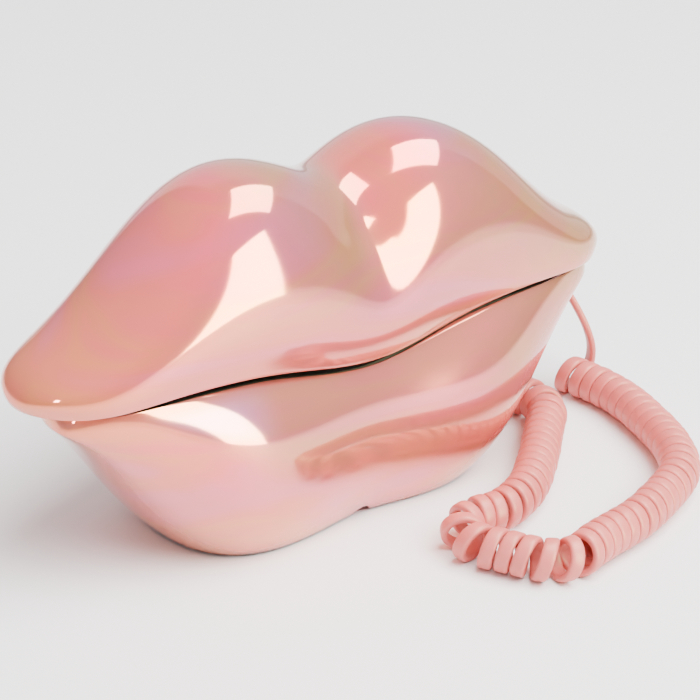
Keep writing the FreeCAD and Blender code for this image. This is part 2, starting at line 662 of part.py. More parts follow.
def slide_switch(x):
    """The fixed body of a slide switch, open at the back where its knob runs."""
    face = switch_face - WALL - 1.0
    body = box((x - 6.0, face - 6.0, SWITCH_Z - 2.0), (x + 6.0, face, SWITCH_Z + 5.5))
    slot = box((x - SWITCH_SLOT / 2, face - 3.0, SWITCH_Z + 1.0),
               (x + SWITCH_SLOT / 2, face + 1.0, SWITCH_Z + 4.6))
    return body.cut(slot)


def slide_knob(x):
    """A ribbed knob at one end of its slot."""
    face = switch_face - WALL - 1.0
    left = x - SWITCH_SLOT / 2 + 0.4
    right = left + SWITCH_SLOT - SWITCH_TRAVEL - 0.8
    knob = box((left, face - 2.8, SWITCH_Z + 1.2), (right, switch_face + 1.2, SWITCH_Z + 4.4))
    for k in range(3):
        place = left + (right - left) * (k + 1) / 4
        knob = knob.cut(box((place - 0.3, switch_face + 0.7, SWITCH_Z), (place + 0.3, 60.0, SWITCH_Z + 6.0)))
    return knob


def base():
    save("base_shell", base_shell())
    save("base_tray", base_tray())
    save("bottom_cover", bottom_cover())
    feet = [cylinder(sx * 33.0, y, 0.0, FOOT_HEIGHT + 0.2, 4.5) for sx in (-1, 1) for y in (-18.0, 15.0)]
    save("rubber_feet", group(feet))
    save("base_screws", screws(PILLAR_PLACES, [FOOT_HEIGHT + 0.4] * 4, 10.0))
    save("base_ballast", rounded_box((-32.0, -16.0, FLOOR_TOP), (8.0, 10.0, FLOOR_TOP + 5.0), 3.0))
    save("base_board", base_board())
    save("ringer_sounder", cylinder(SOUNDER.x, SOUNDER.y, FLOOR_TOP, FLOOR_TOP + 6.0, 11.0))
    save("hook_plunger", hook_plunger())
    save("hook_spring", hook_spring())
    save("hook_switch", hook_switch())
    save("line_jack", jack(LINE_JACK_X, line_jack_face, JACK_Z, 13.0, 15.0, 11.4,
                           JACK11_OPENING, JACK11_CAVITY))
    save("base_cord_jack", jack(CORD_JACK_X, cord_jack_face, JACK_Z, 11.0, 13.0, 9.4,
                                JACK9_OPENING, JACK9_CAVITY))
    save("base_plug", plug(CORD_JACK_X, cord_jack_face, JACK_Z, JACK9_OPENING, JACK9_CAVITY))
    save("ringer_switch", slide_switch(SWITCH_X))
    save("ringer_switch_knob", slide_knob(SWITCH_X))
    save("dialling_switch", slide_switch(-SWITCH_X))
    save("dialling_switch_knob", slide_knob(-SWITCH_X))


def cord():
    save("handset_lead", cord_tube("handset lead", LEAD_ROUTE, CORD_WIDTH))
    save("cord_coil", cord_tube("coil", COIL_ROUTE, COIL_DIAMETER))
    save("base_lead", cord_tube("base lead", BASE_LEAD_ROUTE, CORD_WIDTH))


os.makedirs("parts", exist_ok=True)
handset()
base()
cord()
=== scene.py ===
import json
import math

import bmesh
import bpy
from mathutils import Matrix, Vector


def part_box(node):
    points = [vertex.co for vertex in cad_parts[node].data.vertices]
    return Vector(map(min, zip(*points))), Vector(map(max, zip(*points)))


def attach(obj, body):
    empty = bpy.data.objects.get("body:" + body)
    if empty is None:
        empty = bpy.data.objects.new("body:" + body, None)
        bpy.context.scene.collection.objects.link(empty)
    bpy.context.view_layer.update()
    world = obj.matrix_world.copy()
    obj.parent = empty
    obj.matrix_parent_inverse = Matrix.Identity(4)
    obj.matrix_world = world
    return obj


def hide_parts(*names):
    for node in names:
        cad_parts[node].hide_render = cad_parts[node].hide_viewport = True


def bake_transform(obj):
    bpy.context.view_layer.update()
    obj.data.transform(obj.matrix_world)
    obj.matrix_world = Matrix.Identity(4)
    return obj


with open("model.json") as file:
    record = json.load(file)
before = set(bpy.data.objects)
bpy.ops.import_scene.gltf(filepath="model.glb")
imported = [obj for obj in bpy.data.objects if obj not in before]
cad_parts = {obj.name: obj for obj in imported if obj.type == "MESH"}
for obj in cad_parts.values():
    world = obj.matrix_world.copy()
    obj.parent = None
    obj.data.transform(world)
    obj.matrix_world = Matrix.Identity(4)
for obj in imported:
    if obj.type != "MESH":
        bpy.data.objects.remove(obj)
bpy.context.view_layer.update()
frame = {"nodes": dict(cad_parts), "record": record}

MM = 0.001

# ================================================================ the lips, as the CAD part has them, in mm
UPPER_LIP = {
    "half_length": 107.0,
    "up": (48.5, 46.5, 40.5, 29.0, 23.0, 18.5, 14.5),
    "front": (33.5, 31.5, 30.0, 32.0, 39.5, 44.5, 48.5),
    "back": (39.0, 39.5, 34.0, 31.0, 36.0, 40.5, 43.5),
    "down": (41.0, 39.5, 37.5, 34.5, 31.0, 26.0, 20.5),
    "middle_z": (62.5, 72.5, 67.5, 59.5, 61.5, 58.5),
    "middle_y": (1.5, -6.0, -5.0, -6.0),
    "roundness_up": 2.1,
    "roundness_down": 1.9,
}
LOWER_LIP = {
    "half_length": 99.0,
    "up": (32.0, 34.5, 37.5, 37.5, 34.0, 30.5, 26.5),
    "front": (32.0, 35.5, 39.5, 35.0, 35.5, 39.0, 42.0),
    "back": (37.5, 37.5, 37.0, 36.5, 35.5, 34.5, 33.5),
    "down": (44.5, 43.0, 41.5, 35.0, 23.5, 14.0, 6.0),
    "middle_z": (30.0, 26.5, 33.5, 49.5, 52.0, 51.5),
    "middle_y": (-1.5, -4.5, -5.5, -15.0),
    "roundness_up": 2.2,
    "roundness_down": 2.3,
}
SEAM_HEIGHT = (48.5, 56.0, 58.0, 56.5, 56.5, 56.0)
SEAM_GAP = (3.0, 2.7, 1.4, 0.8)
CREASE_DEPTH = 0.27
CREASE_LEAN = 0.3
CREASE_WIDTH_BACK = 25.0
CREASE_WIDTH_FRONT = 14.0
DIMPLE_DEPTH = 0.06
DIMPLE_WIDTH = 17.0
FOOT_HEIGHT = 1.0
WALL = 2.4                 # 0.1 thinner than in the CAD part
EDGE_ROUNDING = 0.3
EDGE_ANGLE = 50            # degrees; a sharper edge than this is rounded
CREASE_ANGLE = 40          # degrees; a sharper edge than this isn't shaded smooth
JACK_MARGIN = 0.1          # gap round a jack in its window
SWITCH_SLOT = (9.0, 3.6)   # length and height
BEHIND = Vector((0, 25, 0))   # from a jack or switch to well outside the casing
NOTCH_RADIUS = 4.0         # small notch in the base's front edge
NOTCH_Z = -0.5
NOTCH_Y = (-60.0, -10.0)   # from in front of the casing to inside it
NOTCH_SIDES = 48
STATIONS = 180             # sections along a lip
SPOKES = 110               # points round each of them
LAST_STATION = 0.9999      # of the way to a lip's corner, where a section would be a single point
HALVINGS = 40              # of the search for the seam's edge
MERGE_DISTANCE = 0.02 * MM

# ================================================================ cord, its routes in mm
LEAD_ROUTE = (
    (82.0, 18.6, 65.5),
    (83.5, 29.0, 64.0),
    (92.0, 33.0, 60.0),
    (102.5, 27.0, 52.5),
    (110.0, 16.0, 43.0),
    (115.0, 4.5, 32.5),
    (118.5, -4.0, 20.0),
    (121.0, -5.0, 10.5),
    (119.5, -3.2, 1.2),
    (109.5, -4.5, 1.2),
)
COIL_ROUTE = (
    (109.5, -4.5, 6.5),
    (112.5, -20.0, 6.5),
    (109.5, -35.0, 6.5),
    (104.0, -51.0, 6.5),
    (97.0, -65.0, 6.5),
    (87.0, -75.0, 6.5),
    (72.5, -80.5, 6.5),
    (56.5, -86.0, 6.5),
    (39.0, -87.5, 6.5),
    (25.0, -91.5, 6.5),
    (16.5, -86.0, 6.5),
    (12.0, -76.5, 6.5),
    (7.5, -68.0, 6.5),
    (9.5, -59.5, 6.5),
    (17.0, -57.0, 6.5),
    (28.5, -59.0, 6.5),
    (43.0, -54.0, 6.5),
    (59.5, -42.0, 6.5),
    (76.0, -28.0, 6.5),
    (86.0, -20.0, 6.5),
    (87.5, -11.0, 6.5),
    (83.0, -2.5, 6.5),
    (78.5, 8.0, 6.5),
    (75.5, 22.0, 6.5),
    (71.5, 38.0, 6.5),
)
BASE_LEAD_ROUTE = (
    (71.5, 38.0, 11.8),
    (62.5, 38.5, 12.2),
    (56.0, 44.0, 12.2),
    (51.0, 54.5, 11.8),
    (43.0, 60.0, 13.5),
    (34.0, 57.0, 17.0),
    (30.2, 47.5, 19.2),
    (30.0, 36.0, 19.2),
)
CORD_WIDTH = 4.3 * MM
CORD_THICKNESS = 2.2 * MM
CORD_STEP = 1.0 * MM
LEAST_STEP = 0.9 * CORD_STEP
SECTION_POINTS = 16
SECTION_POWERS = (0.45, 0.7)   # along the section's width and thickness: 1 gives an oval, 0 a box
COIL_RADIUS = 5.3 * MM     # from the coil's axis to the middle of the cord's thickness
CLOSED_PITCH = 4.35 * MM   # from turn to turn where the coil is straight and closed
END_OPENING = 2.6 * MM     # how much further apart the first turn is
BEND_SPREAD = 11 * MM      # how far along the coil a bend opens its turns
MOST_OPENING = 0.33        # share of a turn's pitch that a bend can add
AXIS_STEP = 0.2 * MM
ROUTE_RESOLUTION = 24      # points that Blender makes between two of a route's
EDGE_ON_BY = 0.25          # share of the handset's lead after which it is edge-on to the camera
EDGE_ON_UNTIL = 0.7        # and from which it turns ready for the coil
UNEVEN = ((0.02, 0.37, 0.0), (0.015, 0.83, 1.0))   # waves in the turns' size: share, frequency, phase

# ================================================================ keypad
DIGITS = {"key_1": "1", "key_2": "2", "key_3": "3", "key_4": "4", "key_5": "5", "key_6": "6", "key_7": "7",
          "key_8": "8", "key_9": "9", "key_star": "*", "key_0": "0", "key_hash": "#"}
DIGIT_SIZE = 7.0 * MM
DIGIT_HEIGHT = 0.15 * MM   # how far a digit stands out of its key

# ================================================================ pearl finish, with painted reflection, shade, highlight and sheen
# Its tint from where a surface faces -X to where it faces +X is a painted reflection of the studio round it;
# there is a tint at the ear end, and painted shade where it faces down.
PEARL_PINK_AND_PAINTED_REFLECTION = [
    (0.00, (0.92, 0.16, 0.13)),
    (0.25, (0.94, 0.07, 0.12)),
    (0.45, (0.60, 0.12, 0.16)),
    (0.62, (0.36, 0.15, 0.11)),
    (0.80, (0.26, 0.12, 0.02)),
    (1.00, (0.52, 0.17, 0.11)),
]
PEARL_TIP = (0.94, 0.20, 0.10)
# painted shade: a deeper tint where the surface faces down
PEARL_PAINTED_SHADE_BELOW = (0.66, 0.16, 0.12)
PEARL_PAINTED_HIGHLIGHT = (0.62, 0.30, 0.80)   # a painted lilac highlight on the shelf of the lower lip's ear end
# Where a tint starts and where it is full: X and Z are places in m, slopes are Z of the surface's normal.
PEARL_TURN = (-0.9, 1.1)           # X of the normal at the two ends of the painted reflection tints above
PEARL_WAVER = 0.22                 # how far a soft noise moves that
PEARL_TIP_X = (-0.055, -0.105)
PEARL_PAINTED_SHADE_SLOPE = (0.25, -0.25)
PEARL_PAINTED_HIGHLIGHT_X = (-0.035, -0.060)
PEARL_PAINTED_HIGHLIGHT_Z = (0.056, 0.050)
PEARL_PAINTED_HIGHLIGHT_SLOPE = (0.20, 0.40)
# Streaks of painted iridescent sheen, interference colour painted into the base colour, that run along the
# lips.
PAINTED_SHEEN_COLOURS = [
    (0.32, (0.78, 0.16, 0.36)),
    (0.44, (0.84, 0.18, 0.16)),
    (0.56, (0.78, 0.32, 0.10)),
    (0.68, (0.84, 0.14, 0.17)),
]
PAINTED_SHEEN_SHARE = 0.38          # how much of them shows
PAINTED_SHEEN_SCALE = 16.0
PAINTED_SHEEN_STRETCH = (0.55, 1.0, 2.6)

# ================================================================ camera and light
CAMERA_AZIMUTH = -41.77
CAMERA_ELEVATION = 25.45
CAMERA_ROLL = 2.99
CAMERA_DISTANCE = 0.7263
CAMERA_TARGET = Vector((0.0, -0.008, 0.045))
CAMERA_LENS = 128.1
CAMERA_SHIFT = (0.0386, 0.0040)
CAMERA_SENSOR = 36.0
CAMERA_NEAR = 0.01
LIGHTS_TARGET = Vector((0, 0, 0.06))
# Softboxes: name, azimuth, elevation, distance, width, height, power, colour.
GLOSS_LIGHTS = (
    ("side_softbox", 19, 14, 1.0, 0.37, 0.95, 42, (0.92, 1.0, 0.48)),
    ("top_softbox", 72, 66, 1.0, 0.60, 0.60, 26, (1.0, 0.92, 0.64)),
    ("small_softbox", -65, 22, 1.0, 0.12, 0.16, 3.0, (1.0, 0.85, 1.0)),
)
FILL_LIGHT = ("fill_softbox", 20, 60, 1.6, 1.6, 1.6, 110, (1, 1, 1))
BACKDROP_AZIMUTH = 124     # the middle of a white backdrop that the gloss reflects
BACKDROP_HALF_WIDTH = 44
BACKDROP_TOP = (0.90, 0.70)   # sines of the elevations where it is gone and where it starts to fade
BACKDROP = (1.0, 0.99, 1.0)
BACKDROP_BLUR = 0.02
ROOM_COLOURS = [(0.10, (0.40, 0.35, 0.33)), (0.75, (0.66, 0.60, 0.62))]   # by the sine of the elevation
ROOM_STRENGTH = 1.3
SEEN_STRENGTH = 3.0        # of the plain white that the camera sees in place of the room
FLOOR_HALF_SIZE = 30.0
FLOOR_WHITE = (0.95, 0.95, 0.95)
FLOOR_PAINTED_SHADE_GREY = (0.62, 0.61, 0.60)
# painted pool of light on the floor round the telephone, painted grey shade further off
FLOOR_LIGHT_POOL_CENTRE = (0.25, 0.30, 0.0)
FLOOR_LIGHT_POOL_RADIUS = 0.62
FLOOR_PAINTED_SHADE_RADIUS = 1.3 * FLOOR_LIGHT_POOL_RADIUS
FLOOR_ROUGHNESS = 0.6


def direction(azimuth, elevation):
    """Unit vector; azimuth 0 points to the front, -Y, and 90 to +X."""
    a = math.radians(azimuth)
    e = math.radians(elevation)
    return Vector((math.sin(a) * math.cos(e), -math.cos(a) * math.cos(e), math.sin(e)))


def aim(obj, place, target, roll=0.0):
    """Puts a camera or light at a place and turns it to the target."""
    obj.location = place
    turn = (target - place).to_track_quat("-Z", "Y").to_matrix().to_4x4()
    turn = turn @ Matrix.Rotation(math.radians(roll), 4, "Z")
    obj.rotation_euler = turn.to_euler()


def camera_place():
    return CAMERA_TARGET + direction(CAMERA_AZIMUTH, CAMERA_ELEVATION) * CAMERA_DISTANCE


def make_camera():
    data = bpy.data.cameras.new("camera")
    data.lens = CAMERA_LENS
    data.sensor_width = CAMERA_SENSOR
    data.shift_x, data.shift_y = CAMERA_SHIFT
    data.clip_start = CAMERA_NEAR
    camera = bpy.data.objects.new("camera", data)
    bpy.context.scene.collection.objects.link(camera)
    aim(camera, camera_place(), CAMERA_TARGET, CAMERA_ROLL)
    bpy.context.scene.camera = camera


def softbox(name, azimuth, elevation, distance, width, height, power, colour):
    data = bpy.data.lights.new(name, "AREA")
    data.shape = "RECTANGLE"
    data.size = width
    data.size_y = height
    data.energy = power
    data.color = colour
    light = bpy.data.objects.new(name, data)
    light.visible_camera = False
    bpy.context.scene.collection.objects.link(light)
    aim(light, LIGHTS_TARGET + direction(azimuth, elevation) * distance, LIGHTS_TARGET)
    return light


def make_lights():
    """Three softboxes that the gloss reflects, and one wide soft light for everything else."""
    for values in GLOSS_LIGHTS:
        softbox(*values).visible_diffuse = False
    softbox(*FILL_LIGHT).visible_glossy = False


def make_world():
    """A dim room with a white backdrop behind the telephone. The camera itself sees plain white."""
    world = bpy.data.worlds.new("studio")
    bpy.context.scene.world = world
    world.use_nodes = True
    background = world.node_tree.nodes["Background"]
    place = add_node(world, "ShaderNodeTexCoord")
    split = add_node(world, "ShaderNodeSeparateXYZ")
    level = add_node(world, "ShaderNodeCombineXYZ")
    unit = add_node(world, "ShaderNodeVectorMath", operation="NORMALIZE")
    facing = add_node(world, "ShaderNodeVectorMath", operation="DOT_PRODUCT")
    facing.inputs[1].default_value = direction(BACKDROP_AZIMUTH, 0)
    link(world, place.outputs["Generated"], split.inputs["Vector"])
    link(world, split.outputs["X"], level.inputs["X"])
    link(world, split.outputs["Y"], level.inputs["Y"])
    link(world, level.outputs["Vector"], unit.inputs[0])
    link(world, unit.outputs["Vector"], facing.inputs[0])
    edge = math.cos(math.radians(BACKDROP_HALF_WIDTH))
    sideways = step_between(world, facing.outputs["Value"], edge - BACKDROP_BLUR, edge + BACKDROP_BLUR)
    upward = step_between(world, split.outputs["Z"], *BACKDROP_TOP)
    rays = add_node(world, "ShaderNodeLightPath")
    white = add_node(world, "ShaderNodeMath", operation="MAXIMUM")
    link(world, product(world, sideways, upward), white.inputs[0])
    link(world, rays.outputs["Is Camera Ray"], white.inputs[1])
    room = ramp(world, split.outputs["Z"], ROOM_COLOURS)
    colours = mixed(world, white.outputs["Value"], room.outputs["Color"], BACKDROP)
    link(world, colours, background.inputs["Color"])
    strength = add_node(world, "ShaderNodeMath", operation="MULTIPLY_ADD")
    link(world, rays.outputs["Is Camera Ray"], strength.inputs[0])
    strength.inputs[1].default_value = SEEN_STRENGTH - ROOM_STRENGTH
    strength.inputs[2].default_value = ROOM_STRENGTH
    link(world, strength.outputs["Value"], background.inputs["Strength"])


def make_floor():
    """A pale floor with a painted pool of light round the telephone: whitest there, a painted grey shade
    further off.
    """
    size = FLOOR_HALF_SIZE
    corners = [(-size, -size, 0), (size, -size, 0), (size, size, 0), (-size, size, 0)]
    mesh = bpy.data.meshes.new("floor")
    mesh.from_pydata(corners, [], [(0, 1, 2, 3)])
    floor = bpy.data.objects.new("floor", mesh)
    bpy.context.scene.collection.objects.link(floor)
    material, shader = new_material("floor_pale_painted_light_pool")
    place = add_node(material, "ShaderNodeTexCoord")
    distance = add_node(material, "ShaderNodeVectorMath", operation="DISTANCE")
    distance.inputs[1].default_value = FLOOR_LIGHT_POOL_CENTRE
    link(material, place.outputs["Object"], distance.inputs[0])
    # painted pool of light: white near the telephone, painted grey shade further off
    far = step_between(material, distance.outputs["Value"], FLOOR_LIGHT_POOL_RADIUS, FLOOR_PAINTED_SHADE_RADIUS)
    colours = ramp(material, far, [(0.0, FLOOR_WHITE), (1.0, FLOOR_PAINTED_SHADE_GREY)])
    link(material, colours.outputs["Color"], shader.inputs["Base Color"])
    shader.inputs["Roughness"].default_value = FLOOR_ROUGHNESS
    floor.data.materials.append(material)


# ================================================================ materials
def step_between(owner, source, low, high):
    """0 below low and 1 above high, smooth between. low may be the larger."""
    node = add_node(owner, "ShaderNodeMapRange", interpolation_type="SMOOTHSTEP")
    node.inputs["From Min"].default_value = low
    node.inputs["From Max"].default_value = high
    link(owner, source, node.inputs["Value"])
    return node.outputs["Result"]


def new_material(name):
    material = bpy.data.materials.new(name)
    material.use_nodes = True
    shader = material.node_tree.nodes["Principled BSDF"]
    return material, shader


def add_node(owner, kind, **values):
    """A new node in a material or world. A value sets the input of its name, or else the node's property."""
    node = owner.node_tree.nodes.new(kind)
    for key, value in values.items():
        if key in node.inputs:
            node.inputs[key].default_value = value
        else:
            setattr(node, key, value)
    return node


def link(owner, source, target):
    owner.node_tree.links.new(source, target)


def noise(owner, scale, detail=3.0):
    place = add_node(owner, "ShaderNodeTexCoord")
    node = add_node(owner, "ShaderNodeTexNoise", Scale=scale, Detail=detail)
    link(owner, place.outputs["Object"], node.inputs["Vector"])
    return node


def ramp(owner, source, stops):
    """A colour ramp: stops are (place, colour)."""
    node = add_node(owner, "ShaderNodeValToRGB")
    elements = node.color_ramp.elements
    while len(elements) < len(stops):
        elements.new(0.5)
    for element, (place, colour) in zip(elements, stops):
        element.position = place
        element.color = (*colour, 1)
    link(owner, source, node.inputs["Fac"])
    return node


def product(owner, first, second):
    node = add_node(owner, "ShaderNodeMath", operation="MULTIPLY")
    link(owner, first, node.inputs[0])
    link(owner, second, node.inputs[1])
    return node.outputs["Value"]


def mixed(owner, share, first, second):
    """The first colour turning into the second, a constant, as share goes from 0 to 1."""
    node = add_node(owner, "ShaderNodeMix", data_type="RGBA")
    link(owner, share, node.inputs[0])
    link(owner, first, node.inputs[6])
    node.inputs[7].default_value = (*second, 1)
    return node.outputs[2]


def bump(owner, shader, source, strength, distance):
    node = add_node(owner, "ShaderNodeBump", Strength=strength, Distance=distance)
    link(owner, source, node.inputs["Height"])
    link(owner, node.outputs["Normal"], shader.inputs["Normal"])


def moulded(name, low, high, roughness, grain=2500.0, depth=0.00004):
    """Moulded plastic: a slight change of colour and a fine grain."""
    material, shader = new_material(name)
    patches = noise(material, 60.0)
    colours = ramp(material, patches.outputs["Fac"], [(0.3, low), (0.7, high)])
    link(material, colours.outputs["Color"], shader.inputs["Base Color"])
    shader.inputs["Roughness"].default_value = roughness
    bump(material, shader, noise(material, grain, 1.0).outputs["Fac"], 0.35, depth)
    return material


def cord_material():
    return moulded("cord_salmon", (0.61, 0.13, 0.11), (0.66, 0.15, 0.13), 0.42)


def key_material():
    return moulded("key_pink", (0.70, 0.27, 0.25), (0.76, 0.31, 0.29), 0.32)


def black_material():
    return moulded("black_plastic", (0.008, 0.008, 0.008), (0.015, 0.014, 0.014), 0.55, grain=1800.0)


def component_material():
    return moulded("component_black", (0.016, 0.016, 0.018), (0.030, 0.029, 0.030), 0.45)


def jack_material():
    return moulded("jack_black", (0.014, 0.014, 0.014), (0.024, 0.024, 0.024), 0.55)


def knob_material():
    return moulded("knob_off_white", (0.66, 0.62, 0.57), (0.74, 0.70, 0.66), 0.40)


def rubber_material():
    return moulded("rubber_grey", (0.022, 0.021, 0.020), (0.040, 0.038, 0.036), 0.85,
                   grain=900.0, depth=0.0001)


def plug_material():
    """Clear, slightly milky plastic."""
    material = moulded("plug_clear", (0.80, 0.78, 0.76), (0.90, 0.88, 0.86), 0.18)
    shader = material.node_tree.nodes["Principled BSDF"]
    shader.inputs["Transmission Weight"].default_value = 0.7
    return material


def steel_material():
    """Plated steel with fine wear."""
    material, shader = new_material("steel_plated")
    cloud = noise(material, 400.0)
    colours = ramp(material, cloud.outputs["Fac"], [(0.3, (0.52, 0.52, 0.53)), (0.7, (0.66, 0.65, 0.63))])
    link(material, colours.outputs["Color"], shader.inputs["Base Color"])
    wear = ramp(material, cloud.outputs["Fac"], [(0.3, (0.22, 0.22, 0.22)), (0.7, (0.40, 0.40, 0.40))])
    link(material, wear.outputs["Color"], shader.inputs["Roughness"])
    bump(material, shader, noise(material, 3000.0, 1.0).outputs["Fac"], 0.2, 0.00002)
    shader.inputs["Metallic"].default_value = 1.0
    return material


def board_material():
    """Tan laminate with the weave of its cloth showing through."""
    material, shader = new_material("board_tan")
    place = add_node(material, "ShaderNodeTexCoord")
    weave = add_node(material, "ShaderNodeTexWave", Scale=900.0, Distortion=1.5)
    link(material, place.outputs["Object"], weave.inputs["Vector"])
    colours = ramp(material, weave.outputs["Fac"], [(0.2, (0.36, 0.22, 0.08)), (0.8, (0.46, 0.30, 0.13))])
    link(material, colours.outputs["Color"], shader.inputs["Base Color"])
    shader.inputs["Roughness"].default_value = 0.5
    bump(material, shader, weave.outputs["Fac"], 0.2, 0.00003)
    return material


def pearl_with_painted_light_material():
    """Glossy pearl paint. Its tint changes with the way the surface faces, as painted reflection and painted
    shade; a painted lilac highlight sits on the lower lip's shelf; and stripes of painted iridescent sheen
    run along it.
    """
    material, shader = new_material("pearl_pink_painted_light")
    place = add_node(material, "ShaderNodeTexCoord")
    normal = add_node(material, "ShaderNodeSeparateXYZ")
    link(material, place.outputs["Normal"], normal.inputs["Vector"])
    spot = add_node(material, "ShaderNodeSeparateXYZ")
    link(material, place.outputs["Object"], spot.inputs["Vector"])
    wave = noise(material, 14.0, 1.0)
    shifted = add_node(material, "ShaderNodeMath", operation="MULTIPLY_ADD")
    shifted.inputs[1].default_value = PEARL_WAVER
    link(material, wave.outputs["Fac"], shifted.inputs[0])
    link(material, normal.outputs["X"], shifted.inputs[2])
    # painted reflection: the tint follows the way the surface faces and stands in for the light it reflects
    painted_reflection_tints = ramp(material, step_between(material, shifted.outputs["Value"], *PEARL_TURN), PEARL_PINK_AND_PAINTED_REFLECTION)
    tip = step_between(material, spot.outputs["X"], *PEARL_TIP_X)
    # painted shade where the surface faces down
    down = step_between(material, normal.outputs["Z"], *PEARL_PAINTED_SHADE_SLOPE)
    # painted highlight: a lilac patch on the shelf of the lower lip's ear end
    near_end = step_between(material, spot.outputs["X"], *PEARL_PAINTED_HIGHLIGHT_X)
    low_down = step_between(material, spot.outputs["Z"], *PEARL_PAINTED_HIGHLIGHT_Z)
    facing_up = step_between(material, normal.outputs["Z"], *PEARL_PAINTED_HIGHLIGHT_SLOPE)
    shelf = product(material, product(material, near_end, low_down), facing_up)
    # pink with the painted reflection, painted shade and painted highlight mixed in
    pink_and_painted_light = mixed(material, tip, painted_reflection_tints.outputs["Color"], PEARL_TIP)
    pink_and_painted_light = mixed(material, down, pink_and_painted_light, PEARL_PAINTED_SHADE_BELOW)
    pink_and_painted_light = mixed(material, shelf, pink_and_painted_light, PEARL_PAINTED_HIGHLIGHT)
    # painted sheen: stripes of interference colour mixed into the base colour
    stretched = add_node(material, "ShaderNodeMapping")
    stretched.inputs["Scale"].default_value = PAINTED_SHEEN_STRETCH
    link(material, place.outputs["Object"], stretched.inputs["Vector"])
    sheen_streaks = add_node(material, "ShaderNodeTexNoise", Scale=PAINTED_SHEEN_SCALE, Detail=2.0, Distortion=1.2)
    link(material, stretched.outputs["Vector"], sheen_streaks.inputs["Vector"])
    painted_sheen = ramp(material, sheen_streaks.outputs["Fac"], PAINTED_SHEEN_COLOURS)
    with_painted_sheen = add_node(material, "ShaderNodeMix", data_type="RGBA")
    with_painted_sheen.inputs[0].default_value = PAINTED_SHEEN_SHARE
    link(material, pink_and_painted_light, with_painted_sheen.inputs[6])
    link(material, painted_sheen.outputs["Color"], with_painted_sheen.inputs[7])
    link(material, with_painted_sheen.outputs[2], shader.inputs["Base Color"])
    shader.inputs["Metallic"].default_value = 0.5
    shader.inputs["Roughness"].default_value = 0.09
    shader.inputs["Coat Weight"].default_value = 0.6
    shader.inputs["Coat Roughness"].default_value = 0.03
    return material


# ================================================================ lip surfaces
def outline(values, angle):
    """Uniform cubic B-spline with even control values, from 0 at the centre to 90 degrees at the corner."""
    spans = len(values) - 1
    place = abs(angle) / (math.pi / 2) * spans
    span = min(int(place), spans - 1)
    t = place - span
    control = (values[1],) + tuple(values) + (2 * values[-1] - values[-2],)
    a, b, c, d = control[span:span + 4]
    weights = ((1 - t) ** 3, 3 * t ** 3 - 6 * t * t + 4, -3 * t ** 3 + 3 * t * t + 3 * t + 1, t ** 3)
    return (a * weights[0] + b * weights[1] + c * weights[2] + d * weights[3]) / 6


def smooth(t):
    t = min(max(t, 0.0), 1.0)
    return t * t * (3 - 2 * t)


def hollow(lip, x, turn):
    """How much of the reach is left beside the crease of the upper lip or the dimple of the lower one."""
    degrees = math.degrees(turn) % 360
    if lip is UPPER_LIP:
        depth = CREASE_DEPTH * smooth(degrees / 45) * smooth((190 - degrees) / 50)
        depth *= 1 + CREASE_LEAN * (90 - degrees) / 90
        width = CREASE_WIDTH_BACK + (CREASE_WIDTH_FRONT - CREASE_WIDTH_BACK) * smooth((degrees - 60) / 120)
    else:
        depth = DIMPLE_DEPTH * smooth((degrees - 180) / 50) * smooth((330 - degrees) / 50)
        width = DIMPLE_WIDTH
    return 1 - depth / (1 + (x / width) ** 2)


def signed_power(value, power):
    return math.copysign(abs(value) ** power, value)


def lip_point(lip, angle, turn):
    """A point of a lip's surface, in mm. Angle runs along it, turn round it from the back over the top."""
    x = lip["half_length"] * math.sin(angle)
    side = "back" if math.cos(turn) > 0 else "front"
    height = "up" if math.sin(turn) > 0 else "down"
    power = 2 / lip["roundness_" + height]
    size = math.cos(angle) * hollow(lip, x, turn)
    y = size * outline(lip[side], angle) * signed_power(math.cos(turn), power)
    z = size * outline(lip[height], angle) * signed_power(math.sin(turn), power)
    return Vector((x, outline(lip["middle_y"], angle) + y, outline(lip["middle_z"], angle) + z))


def seam(x, side):
    """Height of the seam's upper edge (side 1) or lower edge (side -1)."""
    angle = math.asin(max(-1.0, min(1.0, x / UPPER_LIP["half_length"])))
    return outline(SEAM_HEIGHT, angle) + side * outline(SEAM_GAP, angle) / 2


def crossing(lip, angle, inside, outside, level, side):
    """The turn between inside and outside where the section meets the level."""
    for _ in range(HALVINGS):
        middle = (inside + outside) / 2
        if side * (lip_point(lip, angle, middle).z - level) > 0:
            inside = middle
        else:
            outside = middle
    return inside


def grid_object(name, rows):
    """A mesh of quads through rows of points that all have the same count."""
    mesh = bpy.data.meshes.new(name)
    work = bmesh.new()
    verts = [[work.verts.new(p) for p in row] for row in rows]
    for above, below in zip(verts, verts[1:]):
        for k in range(len(above) - 1):
            work.faces.new((above[k], above[k + 1], below[k + 1], below[k]))
    bmesh.ops.remove_doubles(work, verts=work.verts, dist=MERGE_DISTANCE)
    bmesh.ops.recalc_face_normals(work, faces=work.faces)
    for face in work.faces:
        face.smooth = True
    work.to_mesh(mesh)
    work.free()
    obj = bpy.data.objects.new(name, mesh)
    bpy.context.scene.collection.objects.link(obj)
    return obj


def apply_modifiers(obj):
    """Makes what the modifiers give the object's own mesh."""
    depsgraph = bpy.context.evaluated_depsgraph_get()
    mesh = bpy.data.meshes.new_from_object(obj.evaluated_get(depsgraph))
    obj.modifiers.clear()
    obj.data = mesh


